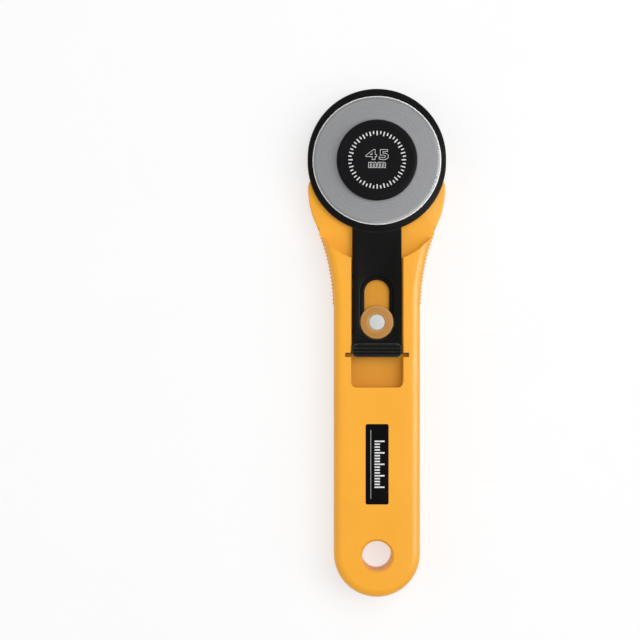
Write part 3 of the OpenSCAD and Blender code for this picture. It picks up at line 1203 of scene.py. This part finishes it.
@dataclass
class Cap:
    """Black cap over the bolt's head, with a ring of ticks and the blade's size printed on it."""

    segments: int = 160
    border: float = 1.9 * MM
    sink: float = 0.2 * MM
    step_width: float = 0.12 * MM
    rim_round: float = 0.7 * MM
    foot_round: float = 0.25 * MM
    seat_radius: float = 8.04 * MM
    seat_depth: float = 1.24 * MM
    tick_count: int = 48
    tick_outer: float = 10.1 * MM
    tick_lengths: Pair = (1.6 * MM, 1.1 * MM)
    tick_width: float = 0.42 * MM
    bold_reach: float = 0.144 * MM
    line_reach: float = 0.081 * MM
    line_height: float = 0.0173 * MM
    letter_spacing: float = 1.15
    number_size: Pair = (7.97 * MM, 3.72 * MM)
    number_rise: float = 1.8 * MM
    unit_size: Pair = (6.07 * MM, 2.07 * MM)
    unit_drop: float = 1.8 * MM
    finish: MouldedPlastic = MouldedPlastic(
        "black_cap_plastic",
        colour=(0.0055, 0.0053, 0.0062),
        tone=(0.0043, 0.0041, 0.0049),
        edge=(0.045, 0.045, 0.047),
        roughness=(0.34, 0.44),
        specular=0.11,
        relief=0.015 * MM,
    )
    ink: PrintInk = PrintInk("white_cap_ink", colour=(0.8, 0.8, 0.79), thin=(0.62, 0.62, 0.62))

    def build(self) -> None:
        """Builds the cap and its print."""
        self.build_cap()
        ink = self.ink.material()
        self.print_ticks(ink)
        self.print_words(ink)

    def build_cap(self) -> None:
        """Models the cap as a disc with a raised border, and a seat for the bolt's flange under it."""
        low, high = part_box(Node.CAP.value)
        radius = (high.x - low.x) / 2
        cap = cylinder("cap_moulding", radius, low.z, high.z, self.segments)
        with editing(cap):
            pick_end(cap, Side.UPPER)
            bpy.ops.mesh.inset(thickness=self.border, depth=0.0)
            bpy.ops.mesh.inset(thickness=self.step_width, depth=-self.sink)
            pick_end(cap, Side.LOWER)
            bpy.ops.mesh.inset(thickness=radius - self.seat_radius, depth=0.0)
            extrude(self.seat_depth)
        soften(cap, self.rim_round, self.outer_rim(high.z, radius), segments=5)
        soften(cap, self.foot_round, self.outer_rim(low.z, radius), segments=5)
        cap.location.xy = PIVOT.xy
        stand_in(cap, Node.CAP, Body.HANDLE, self.finish.material())

    def outer_rim(self, height: float, radius: float) -> EdgeTest:
        """Makes the test for the cap's outer edge at a height."""
        return lambda e: all(near(v.co.z, height) and near(v.co.xy.length, radius) for v in e.verts)

    def face_height(self) -> float:
        """Gives the height of the cap's sunk face."""
        return top_of(Node.CAP).z - self.sink

    def print_ticks(self, ink: Material) -> None:
        """Models one long and one short tick and copies them round the cap's face.

        Args:
            ink: Material of the ticks.
        """
        ticks = []
        for i in range(self.tick_count):
            if i < len(self.tick_lengths):
                length = self.tick_lengths[i]
                place = Vector((0.0, self.tick_outer - length / 2, self.face_height()))
                tick = printed_bar(f"cap_tick_{i}", (self.tick_width, length), place)
            else:
                source = ticks[i % len(self.tick_lengths)]
                tick = source.copy()
                tick.data = source.data.copy()
                bpy.context.scene.collection.objects.link(tick)
            tick.rotation_euler.z = FULL_TURN * i / self.tick_count
            ticks.append(tick)
        ring = join(ticks)
        ring.location.xy = PIVOT.xy
        settle(ring)
        print_on_handle(ring, "cap_ticks", ink)

    def print_words(self, ink: Material) -> None:
        """Prints the blade's size and its unit in outlined characters.

        Args:
            ink: Material of the characters.
        """
        number = self.outlined("45", self.number_size, self.number_rise)
        unit = self.outlined("mm", self.unit_size, -self.unit_drop)
        words = join([number, unit])
        words.scale.z = self.line_height / self.line_reach
        words.location = (*PIVOT.xy, self.face_height())
        # The lines face outwards already. Turning the faces again would flip those that cross themselves.
        apply_place(words)
        print_on_handle(words, "cap_size_print", ink)

    def outlined(self, words: str, size: Pair, rise: float) -> Object:
        """Models the outlines of bold characters as round lines at height zero.

        Args:
            words: Characters to print.
            size: Width and height over the outlines.
            rise: Distance of their middle above the middle of the cap.

        Returns:
            The outlines, as a mesh.
        """
        deselect()
        bpy.ops.object.text_add(location=(0, 0, 0))
        text = bpy.context.active_object
        text.data.body = words
        text.data.space_character = self.letter_spacing
        take(text)
        bpy.ops.object.convert(target="CURVE")
        bpy.context.view_layer.update()
        width, height = text.dimensions.xy
        low = Vector(text.bound_box[0])
        across, along = (length - 2 * (self.bold_reach + self.line_reach) for length in size)
        # The points are moved, because a scale that is applied to a curve also makes its lines thinner.
        bpy.ops.object.mode_set(mode="EDIT")
        bpy.ops.curve.select_all(action="SELECT")
        bpy.ops.transform.translate(value=(-low.x - width / 2, -low.y - height / 2, 0.0))
        bpy.ops.transform.resize(value=(across / width, along / height, 1.0), center_override=(0.0, 0.0, 0.0))
        bpy.ops.transform.translate(value=(0.0, rise, 0.0))
        bpy.ops.object.mode_set(mode="OBJECT")
        text.data.fill_mode = "NONE"
        text.data.offset = self.bold_reach
        text.data.bevel_depth = self.line_reach
        text.data.bevel_resolution = 2
        text.data.resolution_u = 6
        bpy.ops.object.convert(target="MESH")
        return text


@dataclass
class Bolt:
    """Pivot bolt with a real thread, modelled on the Z axis and then moved to the pivot."""

    segments: int = 96
    flange_thickness: float = 1.2 * MM
    flange_round: float = 0.2 * MM
    journal_radius: float = 4.0 * MM
    neck_radius: float = 3.5 * MM
    neck_overlap: float = 0.1 * MM
    flats: float = 6.1 * MM
    core_radius: float = 2.45 * MM
    crest_radius: float = 2.98 * MM
    pitch: float = 1.0 * MM
    turn_steps: int = 48
    ridge_side: float = 0.87 * MM
    thread_overlap: float = 0.4 * MM
    end_chamfer: float = 0.6 * MM
    finish: TurnedMetal = TurnedMetal(
        "bright_bolt_zinc",
        colour=(0.5, 0.5, 0.51),
        streak=(0.62, 0.62, 0.63),
        roughness=(0.26, 0.36),
    )

    def build(self) -> None:
        """Builds the bolt and dresses it."""
        low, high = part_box(Node.BOLT.value)
        bolt = self.head(high)
        combine(bolt, self.neck(), "UNION")
        combine(bolt, self.thread(low.z), "UNION")
        bolt.location.xy = PIVOT.xy
        stand_in(bolt, Node.BOLT, Body.HANDLE, self.finish.material())

    def head(self, corner: Vector) -> Object:
        """Models the flange and the journal under it.

        Args:
            corner: Highest corner of the bolt's box.

        Returns:
            The head.
        """
        under = corner.z - self.flange_thickness
        head = cylinder("threaded_bolt", corner.x, under, corner.z, self.segments)
        soften(head, self.flange_round, is_sharp, segments=3)
        with editing(head):
            pick_end(head, Side.LOWER)
            bpy.ops.mesh.inset(thickness=corner.x - self.flange_round - self.journal_radius, depth=0.0)
            extrude(PLATE_LEVELS[1] - under)
        return head

    def neck(self) -> Object:
        """Models the neck with its two flats, which keep the bolt from turning in the handle.

        Returns:
            The neck.
        """
        low, high = PLATE_LEVELS
        neck = cylinder("bolt_neck", self.neck_radius, low, high + self.neck_overlap, self.segments)
        for side in (1, -1):
            with editing(neck, whole=True):
                bpy.ops.mesh.bisect(
                    plane_co=(side * self.flats / 2, 0, 0),
                    plane_no=(side, 0, 0),
                    use_fill=True,
                    clear_outer=True,
                    threshold=MERGE_REACH,
                )
        return neck

    def thread(self, end: float) -> Object:
        """Models the thread as a helical ridge on a core, trimmed to a chamfered end.

        Args:
            end: Height of the bolt's free end.

        Returns:
            The thread.
        """
        top = PLATE_LEVELS[0] + self.thread_overlap
        low, high = end - self.pitch, top + self.pitch
        ridge = self.ridge(low, high)
        core = cylinder("bolt_core", self.core_radius, low, high, self.segments)
        combine(core, ridge, "UNION")
        trim = cylinder("bolt_trim", self.crest_radius + self.end_chamfer, end, top, self.segments)
        soften(trim, 2 * self.end_chamfer, rim_at(end), segments=1)
        combine(core, trim, "INTERSECT")
        return core

    def ridge(self, low: float, high: float) -> Object:
        """Winds a three-sided section into the ridge of the thread.

        Args:
            low: Height where the ridge starts.
            high: Height where it may end.

        Returns:
            The ridge, closed at both ends.
        """
        section = self.ridge_side / math.sqrt(3)
        quarter = math.radians(90)
        deselect()
        bpy.ops.mesh.primitive_circle_add(
            vertices=3,
            radius=section,
            location=(self.crest_radius - section, 0, low),
            rotation=(-quarter, -quarter, 0),
        )
        ridge = started("bolt_ridge")
        apply_place(ridge)
        apply_modifier(
            ridge,
            "SCREW",
            angle=FULL_TURN,
            screw_offset=self.pitch,
            iterations=int((high - low) / self.pitch),
            steps=self.turn_steps,
            render_steps=self.turn_steps,
            use_merge_vertices=True,
        )
        with editing(ridge, whole=True):
            bpy.ops.mesh.fill_holes(sides=3)
            bpy.ops.mesh.select_all(action="SELECT")
            bpy.ops.mesh.normals_make_consistent(inside=False)
        return ridge


@dataclass
class LockNut:
    """Knob with its brass insert, and the spring washer above it."""

    insert_round: float = 0.2 * MM
    knob_finish: MouldedPlastic = MouldedPlastic(
        "black_knob_plastic",
        colour=(0.011, 0.011, 0.011),
        tone=(0.008, 0.008, 0.008),
        edge=(0.05, 0.05, 0.05),
        roughness=(0.4, 0.5),
        specular=0.35,
    )
    washer_finish: TurnedMetal = TurnedMetal(
        "rolled_washer_steel",
        colour=(0.4, 0.4, 0.41),
        streak=(0.5, 0.5, 0.51),
        roughness=(0.24, 0.34),
    )
    insert_finish: TurnedMetal = TurnedMetal(
        "turned_insert_brass",
        colour=(0.58, 0.36, 0.1),
        streak=(0.7, 0.47, 0.16),
        roughness=(0.22, 0.32),
    )

    def build(self) -> None:
        """Dresses the knob and the washer, and rounds the free end of the insert."""
        dress_node(Node.KNOB, self.knob_finish.material())
        dress_node(Node.WASHER, self.washer_finish.material())
        insert = copy_of(Node.INSERT, "brass_insert")
        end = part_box(Node.INSERT.value)[0].z
        soften(insert, self.insert_round, rim_at(end), segments=2)
        stand_in(insert, Node.INSERT, Body.NUT, self.insert_finish.material())


# Studio


@dataclass(frozen=True)
class Lamp:
    """Soft rectangular lamp that points at the middle of the tool."""

    name: str
    place: tuple[float, float, float]
    size: Pair
    power: float
    role: Role

    def build(self) -> None:
        """Adds the lamp."""
        deselect()
        bpy.ops.object.light_add(type="AREA", location=self.place)
        lamp = bpy.context.active_object
        lamp.name = self.name
        lamp.data.shape = "RECTANGLE"
        lamp.data.size, lamp.data.size_y = self.size
        lamp.data.energy = self.power
        lamp.visible_glossy = self.role is Role.SHINE
        lamp.visible_diffuse = self.role is Role.LIGHT
        lamp.rotation_euler = (-Vector(self.place)).to_track_quat("-Z", "Y").to_euler()


@dataclass
class Studio:
    """Pale floor, soft lamps and a camera straight above the tool."""

    floor_size: float = 12.0
    view_width: float = 223.8 * MM
    view_centre: Pair = (-19.9 * MM, 7.95 * MM)
    view_height: float = 12.5 * MM
    distance: float = 800 * MM
    sensor: float = 36.0
    sky: Colour = (0.97, 0.98, 1.0)
    sky_strength: float = 0.36
    floor: StudioFloor = StudioFloor(
        "pale_floor",
        colour=(0.4, 0.4, 0.4),
        mottle=(0.385, 0.385, 0.385),
        glow=1.42,
    )
    lamps: tuple[Lamp, ...] = (
        Lamp("key_lamp", (0.38, 0.3, 1.05), (0.8, 0.8), 5.6, Role.LIGHT),
        Lamp("top_lamp", (0.0, 0.0, 1.4), (0.3, 0.3), 4.4, Role.LIGHT),
        Lamp("right_fill", (0.7, -0.1, 0.6), (0.5, 0.5), 1.3, Role.LIGHT),
        Lamp("left_fill", (-0.8, -0.1, 0.7), (0.6, 0.6), 1.1, Role.LIGHT),
        Lamp("right_strip", (0.67, 0.02, 0.53), (0.32, 0.9), 6.5, Role.SHINE),
        Lamp("back_strip", (0.0, 0.85, 0.45), (0.9, 0.2), 2.0, Role.SHINE),
        Lamp("bevel_card", (0.22, -0.16, 1.1), (0.34, 0.34), 0.12, Role.SHINE),
    )

    def build(self) -> None:
        """Sets up the floor, the light and the camera."""
        self.add_floor()
        for lamp in self.lamps:
            lamp.build()
        self.add_sky()
        self.add_camera()

    def add_floor(self) -> None:
        """Lays the floor under the tool."""
        deselect()
        bpy.ops.mesh.primitive_plane_add(size=self.floor_size, location=(0, 0, CAD_BOX[0].z))
        floor = started("studio_floor")
        with editing(floor, whole=True):
            bpy.ops.mesh.subdivide(number_cuts=4)
        apply_place(floor)
        dress(floor, self.floor.material())

    def add_sky(self) -> None:
        """Adds an even light from all around."""
        world = bpy.data.worlds.new("studio_light")
        world.use_nodes = True
        backdrop = world.node_tree.nodes["Background"]
        backdrop.inputs["Color"].default_value = rgba(self.sky)
        backdrop.inputs["Strength"].default_value = self.sky_strength
        bpy.context.scene.world = world

    def add_camera(self) -> None:
        """Adds the camera and keeps the colours as they are lit."""
        deselect()
        place = (*self.view_centre, self.view_height + self.distance)
        bpy.ops.object.camera_add(location=place, rotation=(0, 0, 0))
        camera = bpy.context.active_object
        camera.name = "overhead_camera"
        camera.data.sensor_width = self.sensor
        camera.data.lens = self.sensor * self.distance / self.view_width
        camera.data.clip_start = 0.01
        bpy.context.scene.camera = camera
        bpy.context.scene.view_settings.view_transform = "Standard"


def main() -> None:
    """Builds the studio and each sub-assembly in order."""
    logging.basicConfig(level=logging.INFO, format="%(name)s: %(message)s")
    Studio().build()
    for assembly in (Handle(), Label(), Guard(), Blade(), Cap(), Bolt(), LockNut()):
        log.info("building the %s", type(assembly).__name__)
        assembly.build()


if __name__ == "__main__":
    main()
